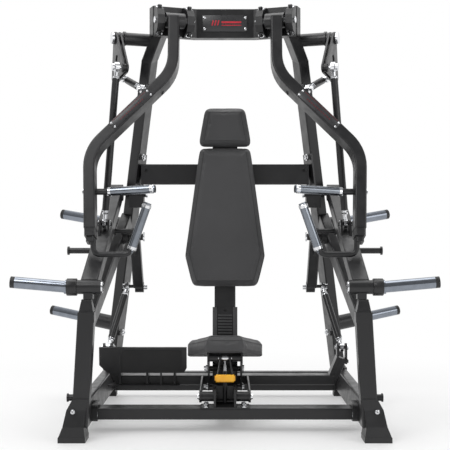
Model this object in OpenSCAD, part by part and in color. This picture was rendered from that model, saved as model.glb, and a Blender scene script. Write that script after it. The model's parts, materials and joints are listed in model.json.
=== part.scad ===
// Plate-loaded converging chest press. Millimetres, +Z up, front of the machine towards -Y.
// Origin at the centre of the footprint on the floor.

/* [Main sizes] */
// overall depth of the footprint
footprint_depth = 1216; // [1100:1:1300]
// half spacing of the two base rails
rail_x = 610; // [560:1:660]
// height of the top face of the head beam
beam_top = 1929; // [1850:1:1960]
// width of the narrow face of the frame tube
tube_w = 50; // [40:1:60]
// depth of the wide face of the frame tube
tube_d = 100; // [80:1:120]
// corner radius of the frame tube
tube_r = 7; // [3:0.5:12]

/* [Press arm] */
// plan angle of each arm axis
arm_yaw = 20; // [0:1:30]
// arm pivot: distance from the centre plane
pivot_x = 235; // [200:1:300]
// arm pivot: depth
pivot_y = -135; // [-200:1:-80]
// arm pivot: height
pivot_z = 1857; // [1800:1:1900]
// bend radius of the arm tube centre line
arm_bend = 178; // [120:1:220]
// radius of the arm pivot shaft
shaft_r = 15; // [10:0.5:20]
// radial running clearance of the pivots
run = 0.06; // [0.02:0.01:0.1]
// radial clearance in the upper eye of each long rod
rod_gap = 4.2; // [2:0.1:5]
// radial clearance in the front eye of each short link
link_gap = 2.4; // [1:0.1:4]
// radial clearance in the upper eye of each pedal link
pedal_gap = 1.8; // [1:0.1:4]

/* [Weight arm] */
// lever pivot: distance from the centre plane
lever_x = 538; // [500:1:560]
// lever pivot: depth
lever_y = 150; // [80:1:160]
// lever pivot: height
lever_z = 1069; // [1000:1:1120]
// radius of the plate sleeve
horn_r = 25; // [24:0.5:26]
// upward tilt of the plate sleeve
horn_tilt = 5; // [0:1:10]

/* [Seat and pads] */
// seat top height at the front edge
seat_z = 415; // [380:1:460]
// seat tilt
seat_tilt = 11.5; // [0:0.5:15]
// backrest lean
back_lean = 6.5; // [3:0.5:12]
// backrest pad thickness
back_t = 60; // [40:1:80]

/* [Hidden] */
$fn = 48;
hy = footprint_depth / 2;
post_top = [-585, -540, 543];
lev_p = [-lever_x, lever_y, lever_z];
hub_p = [-576, -540, 647];
eye_c = [-551, -200, 917];
rock_p = [-437, 73, 852];
peg_p = [-435, 200, 601];
foot_p = [0, -340, 150];
pin_p = [-564, 60, 319];
up_a = [-607, 518, 60];
up_b = [-363, 50, 1703];
up_c = [-306, -38, 1822];
// positions in the arm frame: outward, forward, up from the arm pivot
crank_b = [230, -150, -70];
crank_e = [193, -190, -250];
stud_f = [168, 50, -330];
crank_r = [269, -20, -226];
dark = [0.2, 0.2, 0.21];
steel = [0.62, 0.66, 0.7];
chrome = [0.75, 0.77, 0.8];
rubber = [0.08, 0.08, 0.08];
pad = [0.3, 0.3, 0.31];

// ---- building blocks ----
module rr(w, d, r = tube_r) {
  square([w - 2 * r, d], center = true);
  square([w, d - 2 * r], center = true);
  for (i = [-1, 1], j = [-1, 1]) translate([i * (w / 2 - r), j * (d / 2 - r)]) circle(r);
}
function azi(p, q) = atan2(q.y - p.y, q.x - p.x);
module along(p, q, roll = 0) {
  l = norm(q - p);
  translate(p) rotate([0, acos((q.z - p.z) / l), azi(p, q)]) rotate([0, 0, roll]) children();
}
// rectangular tube from p to q; sx lies in the vertical plane of the run, sy across it
module bar(p, q, sx, sy, roll = 0, r = tube_r) {
  along(p, q, roll) linear_extrude(norm(q - p)) rr(sx, sy, r);
}
module rod(p, q, r) { along(p, q) cylinder(r = r, h = norm(q - p)); }
// cylinder along X between two X values at (y, z)
module xcyl(x0, x1, y, z, r) {
  translate([min(x0, x1), y, z]) rotate([0, 90, 0]) cylinder(r = r, h = abs(x1 - x0));
}
// hex head bolt pointing along +X from x
module xbolt(x, y, z, s = 1, r = 11, h = 8) {
  translate([x, y, z]) rotate([0, 90 * s, 0]) {
    cylinder(r = r * 1.35, h = 2.5);
    translate([0, 0, 2]) cylinder(r = r, h = h, $fn = 6);
  }
}
// pieces of a tube path drawn in the local XY plane, tube depth along local Z
module leg(p, q, w, d, r = tube_r) {
  translate([p.x, p.y, 0]) rotate([0, 0, atan2(q.y - p.y, q.x - p.x)]) rotate([90, 0, 90])
    linear_extrude(norm(q - p)) rr(w, d, r);
}
module bend(c, a0, sweep, R, w, d, r = tube_r) {
  translate([c.x, c.y, 0]) rotate([0, 0, a0]) rotate_extrude(angle = sweep)
    translate([R, 0]) rr(w, d, r);
}
module arm_frame() { translate([-pivot_x, pivot_y, pivot_z]) rotate([0, 0, 180 + arm_yaw]) children(); }
// cylinder along the arm axis, between two outward distances, at (forward, up)
module ucyl(u0, u1, v, z, r) {
  translate([min(u0, u1), v, z]) rotate([0, 90, 0]) cylinder(r = r, h = abs(u1 - u0));
}
module both() { children(); mirror([1, 0, 0]) children(); }
module flip() { mirror([1, 0, 0]) children(); }

// ---- base ----
module rail() {
  color(dark) {
    translate([-rail_x, 0, 100]) rotate([90, 0, 0]) translate([0, 0, -600])
      linear_extrude(1130) rr(tube_w, 116);
    translate([-rail_x, 596, 100]) cube([tube_w + 6, 8, 122], center = true);
    translate([-rail_x - 30, 470, 150]) cube([60, 100, 12]);
  }
}
module side_rail_l() { rail(); }
module side_rail_r() { flip() rail(); }
// thin rectangular section between two corners at height z
module sec(x0, x1, y0, y1, z) { translate([x0, y0, z]) cube([x1 - x0, y1 - y0, 1]); }
module cover() {
  // flared toe cover in three bands above a flat sole
  color(dark) {
    translate([-640.5, -550, 11]) cube([115, 116, 22], center = true);
    hull() { sec(-697, -584, -607, -493, 20); sec(-679, -590, -604, -497, 64); }
    hull() { sec(-679, -590, -604, -497, 64); sec(-665, -583, -586, -499, 132); }
    hull() { sec(-665, -583, -586, -499, 132); sec(-640, -573, -583, -506, 178); }
  }
}
module foot_cover_l() { cover(); }
module foot_cover_r() { flip() cover(); }
module rubber_feet() {
  color(rubber) both() {
    translate([-rail_x, 575, 20]) cube([62, 66, 40], center = true);
  }
}
module post() {
  color(dark) difference() {
    union() {
      bar([-612, -545, 60], post_top, 70, 70, -azi([-612, -545, 60], post_top));
      xcyl(-664, -600, -545, 180, 14);
      xcyl(-668, -662, -545, 180, 18);
      translate([-620, -575, 500]) cube([70, 70, 43]);
    }
    translate([-690, -610, 543]) cube([200, 200, 80]);
  }
}
module front_post_l() { post(); }
module front_post_r() { flip() post(); }
module bumpers() {
  both() translate(post_top) {
    color(dark) hull() {
      translate([-30.5, -30.5, -0.5]) cube([61, 61, 1]);
      translate([-22, -22, 43]) cube([44, 44, 1]);
    }
    color(rubber) translate([-21, -21, 43.5]) cube([42, 42, 8.5]);
  }
}
slope_a = [-584, -506, 500];
slope_b = [-490, 240, 940];
module slope() { color(dark) {
  bar(slope_a, slope_b, 70, 50);
  // boss that carries the rocker
  xcyl(-500, -466.5, rock_p.y, rock_p.z, 34);
  xcyl(-467, -396, rock_p.y, rock_p.z, 16);
  color(chrome) xcyl(-396, -389, rock_p.y, rock_p.z, 22);
} }
module slope_tube_l() { slope(); }
module slope_tube_r() { flip() slope(); }
module front_crossbar() {
  color(dark) {
    translate([0, -336, 80]) rotate([90, 0, 90]) translate([0, 0, -575]) linear_extrude(1150) rr(104, 50);
    both() translate([-586, -336, 86]) rotate([90, 0, 90]) linear_extrude(26) rr(122, 78, 20);
    // bracket of the foot lever: two bored cheeks and a back plate
    both() difference() {
      translate([-50, -384, 103]) cube([10, 130, 81]);
      xcyl(-60, -30, foot_p.y, foot_p.z, shaft_r + run);
    }
    translate([-50, -262, 84]) cube([100, 8, 100]);
    translate([0, -340, 106]) cube([216, 96, 6], center = true);
  }
  color(chrome) {
    both() xbolt(-562, -376, 77);
    both() xbolt(-562, -296, 77);
    both() for (y = [-374, -306]) translate([-84, y, 108]) cylinder(r = 10, h = 10, $fn = 6);
  }
}
module rear_base_bar() {
  color(dark) {
    translate([0, 550, 82]) rotate([90, 0, 90]) translate([0, 0, -578]) linear_extrude(1156) rr(50, 100);
    both() translate([-581, 550, 92]) cube([6, 90, 124], center = true);
  }
}
module spine_tube() {
  color(dark) translate([0, 535, 66]) rotate([90, 0, 0]) linear_extrude(835) rr(100, 44);
}

// ---- upright frame ----
module upright() {
  color(dark) {
    bar(up_a, up_b, 100, 50, -106 - azi(up_a, up_b));
    bar(up_b, up_c, 100, 50, -106 - azi(up_b, up_c));
    translate(up_b) sphere(24);
  }
  color(chrome) translate([-535, 442, 352]) rotate([0, 0, -16]) xbolt(4, -60, 0);
}
module upright_l() { upright(); }
module upright_r() { flip() upright(); }
module mid_crossbar() {
  color(dark) difference() {
    union() {
      translate([0, 160, 1159]) rotate([90, 0, 90]) translate([0, 0, -412]) linear_extrude(824) rr(50, 100);
      both() translate([-418, 172, 1176]) rotate([0, 7, -16]) cube([8, 112, 168], center = true);
    }
    both() translate([-386, 130, 1178]) rotate([90, 0, 0]) cylinder(r = 7, h = 40, center = true);
  }
  color(chrome) both() translate([-406, 150, 1243]) rotate([0, 7, -16]) xbolt(0, 0, 0);
}
beam_t = 58;
beam_out = 218;
module head_beam() {
  ex = [-140 - beam_out * cos(arm_yaw), -25 - beam_out * sin(arm_yaw)];
  n = [sin(arm_yaw), -cos(arm_yaw)] * beam_t / 2;
  k = beam_t / 2 * tan(arm_yaw / 2);
  half = [[-140 + k, -25 - beam_t / 2], ex + n, ex - n, [-140 - k, -25 + beam_t / 2]];
  color(dark) {
    translate([0, 0, beam_top - 136]) linear_extrude(136)
      polygon(concat(half, [for (i = [3:-1:0]) [-half[i].x, half[i].y]]));
  }
}
module clamp(u) {
  // hexagonal side profile gripping the shaft in front of the beam
  translate([u - 17, 0, 0]) rotate([90, 0, 90]) linear_extrude(34)
    polygon([[-58, 66], [-34, 72], [16, 50], [34, 20], [34, -20], [16, -50], [-34, -72], [-58, -66]]);
}
module pivot_clamps() {
  both() arm_frame() {
    color(dark) { clamp(72); clamp(-72); }
    color(chrome) {
      ucyl(-96, 96, 0, 0, shaft_r);
      for (u = [-72, 72], s = [-1, 1]) translate([u, 4, s * 56]) rotate([s < 0 ? 180 : 0, 0, 0])
        rotate([-25, 0, 0]) cylinder(r = 10, h = 14, $fn = 6);
    }
  }
}
module stub() {
  color(dark) arm_frame() {
    ucyl(52, 200, crank_b.y, crank_b.z, 30);
    ucyl(196, 206, crank_b.y, crank_b.z, 34);
  }
  color(chrome) arm_frame() {
    ucyl(204, 254, crank_b.y, crank_b.z, shaft_r);
    ucyl(253, 262, crank_b.y, crank_b.z, 27.5);
  }
}
module crank_stub_l() { stub(); }
module crank_stub_r() { flip() stub(); }
function on_up(z) = up_a + (up_b - up_a) * ((z - up_a.z) / (up_b.z - up_a.z));
// storage horn: root on the upright at height z, stub tube radius rs and length ls, total length lt
horn_back = 21;
module horn(z, rs, ls, lt, tilt) {
  translate(on_up(z)) rotate([0, 0, -horn_back]) rotate([0, -90 + tilt, 0]) {
    color(dark) cylinder(r = rs, h = ls);
    color(chrome) cylinder(r = horn_r, h = lt);
    color(rubber) translate([0, 0, lt]) cylinder(r = horn_r - 0.5, h = 18);
  }
}
module upper_horn_l() { horn(905, 36, 100, 374, 9); }
module upper_horn_r() { flip() upper_horn_l(); }
module lower_horn_l() { horn(395, 38, 120, 378, 9); }
module lower_horn_r() { flip() lower_horn_l(); }
module lever_shaft() {
  color(dark) {
    difference() {
      union() {
        xcyl(-489, -388, lever_y, lever_z, 22);
        translate([-462, lever_y - 4, lever_z - 62]) rotate([0, 0, 0]) cube([56, 150, 60]);
        translate([-470, lever_y - 30, lever_z - 74]) cube([72, 60, 60]);
      }
      translate([-520, lever_y + 80, lever_z - 100]) rotate([0, 0, -16]) cube([20, 200, 200]);
    }
  }
  color(chrome) {
    xcyl(-582, -380, lever_y, lever_z, shaft_r);
    xcyl(-388, -380, lever_y, lever_z, 27);
    xcyl(-590, -580, lever_y, lever_z, 24);
  }
}
module lever_shaft_l() { lever_shaft(); }
module lever_shaft_r() { flip() lever_shaft(); }

// ---- back support and pads ----
post_y0 = -52;
module lean(z) {
  translate([0, post_y0 + z * tan(back_lean), z]) rotate([-back_lean, 0, 0]) children();
}
module backrest_post() {
  color(dark) {
    lean(66) linear_extrude(1276) rr(100, 50);
    lean(0) {
      // guard plate: two side strips, a recessed middle with ribs and one screw
      both() translate([-48, -30, 300]) cube([20, 10, 440], center = true);
      translate([0, -28, 300]) cube([78, 6, 440], center = true);
      for (i = [0:7]) translate([0, -33, 481 - i * 14]) cube([66, 5, 6], center = true);
      translate([0, -30, 507]) rotate([90, 0, 0]) cylinder(r = 6, h = 4);
    }
    lean(0) for (z = [760, 1120, 1290]) translate([0, -30, z]) cube([120, 12, 60], center = true);
    translate([0, 96, 1159]) cube([90, 90, 80], center = true);
  }
}
// pad slab: 2D outline in X and height, front and back edges bevelled
module slab(t, b, h) {
  translate([0, 0, 0]) rotate([90, 0, 0]) {
    linear_extrude(t - b) children(0);
    translate([0, 0, t - b - 0.01]) linear_extrude(b + 0.01) offset(delta = -b * 0.8) children(0);
  }
}
module back_outline() {
  hull() {
    translate([-100, 622]) circle(18);
    translate([100, 622]) circle(18);
    translate([-134, -14]) circle(18);
    translate([134, -14]) circle(18);
    translate([-168, 126]) circle(18);
    translate([168, 126]) circle(18);
  }
}
module head_outline() {
  hull() {
    for (s = [-1, 1]) {
      translate([s * 74, 155]) circle(18);
      translate([s * 108, 13]) circle(18);
    }
  }
}
module backrest_pad() {
  color(pad) lean(640) translate([0, -40, 0]) slab(back_t, 14) translate([0, 4]) back_outline();
}
module headrest_pad() {
  color(pad) lean(1290) translate([0, -40, 0]) slab(50, 12) head_outline();
}
module gas_cylinder() {
  color(dark) lean(0) {
    difference() {
      translate([0, gas_y, 84]) cylinder(r = 9, h = 142);
      translate([0, gas_y, 100]) cylinder(r = 6 + run, h = 140);
    }
    xcyl(-45, 45, gas_y, 90, 5);
  }
}

// ---- press arms ----
arm_pitch = 13.8;
module arm_plane() {
  translate([0, pivot_y - 22, pivot_z]) rotate([90 - arm_pitch, 0, 0]) children();
}
av1 = [-235, -263];
av2 = [-603, -645];
av3 = [-589, -996];
ath = atan2(av1.x - av2.x, av1.y - av2.y);
at = arm_bend * tan(ath / 2);
adir = [-sin(ath), -cos(ath)];
module arm() {
  low = norm(av3 - av2);
  ldir = (av3 - av2) / low;
  phi = atan2(ldir.x, -ldir.y);
  lth = ath + phi;
  lt = arm_bend * tan(lth / 2);
  color(dark) difference() {
    union() {
      arm_plane() {
        leg([-235, 0], [-235, av1.y + at], tube_w, tube_d);
        bend([-235 - arm_bend, av1.y + at], 0, -ath, arm_bend, tube_w, tube_d);
        leg(av1 + adir * at, av2 - adir * lt, tube_w, tube_d);
        bend(av2 + ldir * lt + arm_bend * [-ldir.y, ldir.x], 180 + phi - lth, lth, arm_bend,
             tube_w, tube_d);
        leg(av2 + ldir * lt, av3, tube_w, tube_d);
        leg(av3 - ldir, av3 + ldir * 36, tube_w - 4, tube_d - 6, 9);
        leg(av3 + ldir * 35, av3 + ldir * 60, tube_w - 16, tube_d - 28, 9);
      }
      arm_frame() ucyl(-46, 46, 0, 0, 36);
      arm_frame() ucyl(stud_f.x - 96, stud_f.x - 20, stud_f.y, stud_f.z, 24);
    }
    arm_frame() ucyl(-60, 60, 0, 0, shaft_r + run);
  }
  color(chrome) arm_frame() {
    ucyl(stud_f.x - 60, stud_f.x + 16, stud_f.y, stud_f.z, 8);
    ucyl(stud_f.x + 14, stud_f.x + 22, stud_f.y, stud_f.z, 14);
  }
}
module press_arm_l() { arm(); }
module press_arm_r() { flip() arm(); }
grip_y = -354;
module upper_grip() {
  color(dark) xcyl(-575, -510, grip_y, 1057, 14);
  color(chrome) { xcyl(-626, -600, grip_y, 1057, 9); xbolt(-620, grip_y, 1057, -1, 12, 8); }
  color(steel) rod([-516, grip_y, 1057], [-314, grip_y - 38, 1068], 19);
  color(chrome) rod([-316, grip_y - 37.6, 1067.9], [-306, grip_y - 39.5, 1068.4], 17);
}
module upper_grip_l() { upper_grip(); }
module upper_grip_r() { flip() upper_grip(); }
loop_y = -421;
module loop_grip() {
  color(dark) {
    translate([0, loop_y, 0]) rotate([90, 0, 0]) {
      translate([-574, 852]) rotate([90, 0, 0]) cylinder(r = 12.5, h = 40);
      translate([-544, 812]) rotate([0, 0, 180]) rotate_extrude(angle = 90) translate([30, 0]) circle(12.5);
      translate([-544, 782]) rotate([0, 90, 0]) cylinder(r = 12.5, h = 104);
      translate([-440, 817]) rotate([0, 0, -90]) rotate_extrude(angle = 75) translate([35, 0]) circle(12.5);
    }
  }
  color(steel) rod([-407, loop_y, 804], [-338, loop_y - 12, 998], 19);
  color(chrome) rod([-339, loop_y - 11.8, 996], [-335, loop_y - 12.4, 1006], 17);
}
module loop_grip_l() { loop_grip(); }
module loop_grip_r() { flip() loop_grip(); }

// ---- linkage ----
module crank_side(u, t) {
  // tapered cheek between the pivot, the short-link eye and the long-rod eye
  translate([u, 0, 0]) rotate([90, 0, 90]) linear_extrude(t) difference() {
    hull() {
      translate([crank_b.y, crank_b.z]) circle(30);
      translate([crank_e.y, crank_e.z]) circle(22);
      translate([crank_r.y, crank_r.z]) circle(24);
    }
    translate([crank_b.y, crank_b.z]) circle(shaft_r + run);
    translate([-112, -178]) circle(24);
  }
}
module crank() {
  arm_frame() {
    color(dark) {
      crank_side(218, 8);
      crank_side(238, 8);
      difference() {
        ucyl(208, 252, crank_b.y, crank_b.z, 28);
        ucyl(200, 300, crank_b.y, crank_b.z, shaft_r + run);
      }
      for (p = [crank_e, crank_r]) ucyl(216, 247, p.y, p.z, 19);
    }
    color(chrome) {
      ucyl(244, crank_r.x + 16, crank_r.y, crank_r.z, 8);
      ucyl(crank_r.x + 14, crank_r.x + 22, crank_r.y, crank_r.z, 17);
      ucyl(220, crank_e.x - 14, crank_e.y, crank_e.z, 8);
      ucyl(crank_e.x - 20, crank_e.x - 12, crank_e.y, crank_e.z, 14);
    }
  }
}
module bell_crank_l() { crank(); }
module bell_crank_r() { flip() crank(); }
// eye with a bore; axis along local X at the origin
module eye(ro, ri, t) {
  rotate([0, 90, 0]) difference() {
    cylinder(r = ro, h = t, center = true);
    cylinder(r = ri, h = t + 2, center = true);
  }
}
module link() {
  e = [crank_e.x, crank_e.y, crank_e.z]; f = [stud_f.x, stud_f.y, stud_f.z];
  arm_frame() {
    color(chrome) difference() {
      union() {
        translate(e) rotate([0, 90, 0]) cylinder(r = 21, h = 16, center = true);
        translate(f) rotate([0, 90, 0]) cylinder(r = 21, h = 14, center = true);
        rod(e + (f - e) * 0.06, e + (f - e) * 0.3, 9);
        rod(f + (e - f) * 0.06, f + (e - f) * 0.3, 9);
      }
      translate(e) rotate([0, 90, 0]) cylinder(r = 8 + run, h = 30, center = true);
      translate(f) rotate([0, 90, 0]) cylinder(r = 8 + link_gap, h = 30, center = true);
    }
    color(dark) rod(e + (f - e) * 0.22, e + (f - e) * 0.78, 16);
  }
}
module short_link_l() { link(); }
module short_link_r() { flip() link(); }
function world(p) = [-pivot_x + p.x * cos(180 + arm_yaw) - p.y * sin(180 + arm_yaw),
  pivot_y + p.x * sin(180 + arm_yaw) + p.y * cos(180 + arm_yaw), pivot_z + p.z];
r_eye = world([crank_r.x, crank_r.y, crank_r.z]);
module long_rod() {
  d = eye_c - r_eye;
  color(chrome) difference() {
    union() {
      translate(r_eye) rotate([0, 90, 180 + arm_yaw]) cylinder(r = 24, h = 16, center = true);
      translate(eye_c) rotate([0, 90, 0]) cylinder(r = 21, h = 16, center = true);
      rod(r_eye + d * 0.024, r_eye + d * 0.12, 9);
      rod(r_eye + d * 0.88, r_eye + d * 0.98, 9);
    }
    translate(r_eye) rotate([0, 90, 180 + arm_yaw]) cylinder(r = 8 + rod_gap, h = 30, center = true);
    translate(eye_c) sphere(14 + run);
  }
  color(dark) rod(r_eye + d * 0.07, r_eye + d * 0.92, 16);
}
module rod_ball() {
  color(steel) translate(eye_c) difference() {
    sphere(14);
    rotate([0, 90, 0]) cylinder(r = 8 + run, h = 40, center = true);
    for (s = [-1, 1]) translate([s * 21, 0, 0]) cube([20, 40, 40], center = true);
  }
}
module rod_ball_l() { rod_ball(); }
module rod_ball_r() { flip() rod_ball(); }
module long_rod_l() { long_rod(); }
module long_rod_r() { flip() long_rod(); }

// ---- weight arms ----
peg_y = -298;
function warm_z(y) = hub_p.z + (lev_p.z - hub_p.z) * (y - hub_p.y) / (lev_p.y - hub_p.y);
module warm() {
  color(dark) difference() {
    union() {
      bar(lev_p + (hub_p - lev_p) * 0.01, hub_p + (lev_p - hub_p) * 0.02, 56, 74);
      xcyl(-575, -502, lever_y, lever_z, 40);
      xcyl(-627, -524, hub_p.y, hub_p.z, 30);
      xcyl(-669, -627, hub_p.y, hub_p.z, 36);
      translate([hub_p.x - 22, hub_p.y - 20, hub_p.z - 50]) cube([40, 40, 26]);
      for (s = [-1, 1]) translate([eye_c.x + s * 20, 0, 0]) rotate([90, 0, 90])
        linear_extrude(10, center = true) hull() {
          translate([eye_c.y, eye_c.z]) circle(20);
          translate([eye_c.y - 40, warm_z(eye_c.y - 40) + 12]) circle(12);
          translate([eye_c.y + 56, warm_z(eye_c.y + 56) + 12]) circle(12);
        }
      xcyl(-698, -590, peg_y, warm_z(peg_y), 13);
      xcyl(-704, -696, peg_y, warm_z(peg_y), 19);
    }
    xcyl(-600, -480, lever_y, lever_z, shaft_r + run);
  }
  color(chrome) {
    xcyl(-524, -518, hub_p.y, hub_p.z, 25);
    xcyl(eye_c.x - 32, eye_c.x + 32, eye_c.y, eye_c.z, 8);
    xbolt(eye_c.x + 25, eye_c.y, eye_c.z, 1, 11, 8);
    xbolt(eye_c.x - 25, eye_c.y, eye_c.z, -1, 11, 8);
  }
}
module weight_arm_l() { warm(); }
module weight_arm_r() { flip() warm(); }
module load_horn() {
  translate([-665, hub_p.y, hub_p.z]) rotate([0, -90 + horn_tilt, 0]) {
    color(chrome) {
      cylinder(r = 30, h = 13);
      cylinder(r = horn_r, h = 225);
    }
    color(rubber) translate([0, 0, 225]) cylinder(r = horn_r - 0.5, h = 19);
  }
}
module load_horn_l() { load_horn(); }
module load_horn_r() { flip() load_horn(); }

// ---- foot assist ----
cross_z = 166;
module foot_lever() {
  color(dark) {
    both() {
      xcyl(-108, -51, foot_p.y, foot_p.z, 22);
      bar([-109, foot_p.y, foot_p.z], [-109, pin_p.y - 20, cross_z], 46, 10, 0, 4);
      xcyl(-114, -104, foot_p.y, foot_p.z, 27);
      bar([-516, pin_p.y, cross_z], [-560, pin_p.y, cross_z + 104], 48, 84, 0, 6);
      for (s = [-1, 1]) translate([pin_p.x + s * 20, 0, 0]) rotate([90, 0, 90])
      linear_extrude(10, center = true) {
        translate([pin_p.y, pin_p.z]) circle(20);
        translate([pin_p.y - 20, 240]) square([40, pin_p.z - 240]);
      }
      translate([pin_p.x, pin_p.y, 256]) cube([56, 84, 14], center = true);
    }
    translate([0, pin_p.y, cross_z]) rotate([90, 0, 90]) linear_extrude(1050, center = true) rr(88, 46);
  }
  color(chrome) {
    both() {
      xcyl(-116, -38, foot_p.y, foot_p.z, shaft_r);
      xbolt(-115, foot_p.y, foot_p.z, -1, 12, 6);
      xcyl(-594, -534, pin_p.y, pin_p.z, 8);
      xbolt(-588, pin_p.y, pin_p.z, -1, 11, 6);
      xbolt(-540, pin_p.y, pin_p.z, 1, 11, 6);
    }
  }
}
pedal_y = 4;
module foot_pedal() {
  color(dark) {
    translate([0, pedal_y + 12, 0]) rotate([6, 0, 0]) rotate([90, 0, 0]) linear_extrude(12)
      polygon([[-598, 332], [-182, 332], [-182, 232], [-196, 209], [-560, 209], [-598, 246]]);
    for (x = [-500, -370, -240]) translate([x, 0, 0]) rotate([90, 0, 90]) linear_extrude(10, center = true)
      polygon([[-22, 214], [-30, 300], [4, 290], [70, 184], [70, 160], [10, 150], [-16, 150]]);
    // lip below the plate
    translate([-556, -22, 143]) cube([341, 42, 6]);
    translate([-300, -20, 146]) rotate([0, -90, 0]) linear_extrude(8) polygon([[0, 0], [64, 0], [0, 34]]);
  }
  color(rubber) translate([0, pedal_y + 1.5, 0]) rotate([6, 0, 0]) rotate([90, 0, 0]) linear_extrude(6)
    translate([-346, 268]) rr(282, 96, 8);
}
peg_q = [-485, 200, 605];
module plink() {
  d = peg_q - pin_p;
  color(chrome) difference() {
    union() {
      translate(pin_p) rotate([0, 90, 0]) cylinder(r = 20, h = 16, center = true);
      translate(peg_q) rotate([0, 90, 0]) cylinder(r = 21, h = 16, center = true);
      rod(pin_p + d * 0.04, pin_p + d * 0.2, 9);
      rod(peg_q - d * 0.2, peg_q - d * 0.04, 9);
    }
    translate(pin_p) rotate([0, 90, 0]) cylinder(r = 8 + run, h = 30, center = true);
    translate(peg_q) rotate([0, 90, 0]) cylinder(r = 8 + pedal_gap, h = 30, center = true);
  }
  color(dark) rod(pin_p + d * 0.14, pin_p + d * 0.86, 16);
}
module pedal_link_l() { plink(); }
module pedal_link_r() { flip() plink(); }
module rocker() {
  color(dark) difference() {
    union() {
      xcyl(-464, -412, rock_p.y, rock_p.z, 32);
      bar([-437, rock_p.y, rock_p.z], [-430, peg_p.y - 2, peg_p.z + 6], 44, 50);
      translate([-437, 0, 0]) rotate([90, 0, 90]) linear_extrude(12, center = true)
        polygon([[rock_p.y, rock_p.z + 20], [-14, 894], [-28, 866], [rock_p.y + 44, 740]]);
      xcyl(-446, -404, peg_p.y, peg_p.z, 26);
    }
    xcyl(-520, -380, rock_p.y, rock_p.z, 16 + run);
  }
  color(chrome) {
    xcyl(-506, -404, peg_p.y, peg_q.z, 8);
    xcyl(-508, -500, peg_p.y, peg_q.z, 14);
    xcyl(-404, -386, peg_p.y, peg_p.z, 12);
    xcyl(-556, -432, -20, 882, 10);
  }
  color(rubber) xcyl(-562, -520, -20, 882, 18);
}
module rocker_l() { rocker(); }
module rocker_r() { flip() rocker(); }

// ---- seat ----
// roller that runs on the post; local depth y and height z in the leaning frame
module rollers(y, z, r = 18) { both() xcyl(-57, -38, y, z, r); xcyl(-72, 72, y, z, 7); }
roll_p = [[-54, 237], [-54, 150], [44, 222]];
gas_y = -244;
grip_z = 284;
seat_y = -285;
module seat_frame() { translate([0, seat_y, seat_z]) rotate([-seat_tilt, 0, 0]) children(); }
module seat_carriage() {
  color(dark) seat_frame() translate([-72, 64, -84]) cube([144, 150, 11]);
  lean(0) {
    color(dark) both() translate([-76, 0, 0]) rotate([90, 0, 90]) linear_extrude(8, center = true)
      polygon([[-74, 130], [2, 130], [66, 226], [66, 246],
               [-42, 297], [-260, 312], [-264, 262], [-92, 196]]);
    color(rubber) for (p = roll_p) rollers(p.x, p.y);
    color(chrome) {
      both() for (p = roll_p) xbolt(-80, p.x, p.y, -1, 11, 8);
      for (p = roll_p) xcyl(-99, -80, p.x, p.y, 6);
      xcyl(-76, 76, gas_y, grip_z, 9);
      xcyl(-11, 11, gas_y, grip_z, 14);
      translate([0, gas_y, 104]) cylinder(r = 6, h = 170);
    }
    color(dark) both() xcyl(-74, -31, gas_y, grip_z, 16);
  }
}
module seat_pad() {
  color(pad) seat_frame() {
    translate([0, 0, -75]) linear_extrude(57) seat_outline();
    translate([0, 0, -18.01]) linear_extrude(9.01) offset(delta = -5) seat_outline();
    translate([0, 0, -9.01]) linear_extrude(9.01) offset(delta = -12) seat_outline();
  }
}
module seat_outline() {
  difference() {
    hull() for (s = [-1, 1]) {
      translate([s * 72, 8]) circle(8);
      translate([s * 159, 258]) circle(16);
      translate([s * 150, 290]) circle(14);
    }
    // notch that clears the post
    translate([-66, 226]) square([132, 140]);
  }
}
hin = [post_y0 + gas_y * cos(back_lean) + grip_z * sin(back_lean),
       grip_z * cos(back_lean) - gas_y * sin(back_lean)];
module seat_handle() {
  color([1, 0.66, 0.2]) translate([0, -314, 226]) rotate([90, 0, 90]) {
    linear_extrude(80, center = true) rr(24, 34, 7);
    linear_extrude(91, center = true) rr(14, 24, 6);
  }
  color(dark) difference() {
    union() both() {
      xcyl(-28, -15, hin.x, hin.y, 15);
      bar([-21, hin.x - 3, hin.y - 6], [-33, -308, 238], 16, 8, 0, 3);
    }
    xcyl(-40, 40, hin.x, hin.y, 9 + run);
  }
}

side_rail_l();
side_rail_r();
foot_cover_l();
foot_cover_r();
rubber_feet();
front_post_l();
front_post_r();
bumpers();
slope_tube_l();
slope_tube_r();
front_crossbar();
rear_base_bar();
spine_tube();
upright_l();
upright_r();
mid_crossbar();
head_beam();
pivot_clamps();
crank_stub_l();
crank_stub_r();
upper_horn_l();
upper_horn_r();
lower_horn_l();
lower_horn_r();
lever_shaft_l();
lever_shaft_r();
backrest_post();
backrest_pad();
headrest_pad();
gas_cylinder();
press_arm_l();
press_arm_r();
upper_grip_l();
upper_grip_r();
loop_grip_l();
loop_grip_r();
bell_crank_l();
bell_crank_r();
short_link_l();
short_link_r();
long_rod_l();
long_rod_r();
rod_ball_l();
rod_ball_r();
weight_arm_l();
weight_arm_r();
load_horn_l();
load_horn_r();
foot_lever();
foot_pedal();
pedal_link_l();
pedal_link_r();
rocker_l();
rocker_r();
seat_carriage();
seat_pad();
seat_handle();
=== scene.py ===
"""Looks of the plate-loaded chest press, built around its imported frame. Metres, +Z up, front towards -Y."""
import json
import math

import bmesh
import bpy
import numpy as np
from mathutils import Matrix, Vector
from mathutils.bvhtree import BVHTree


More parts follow.
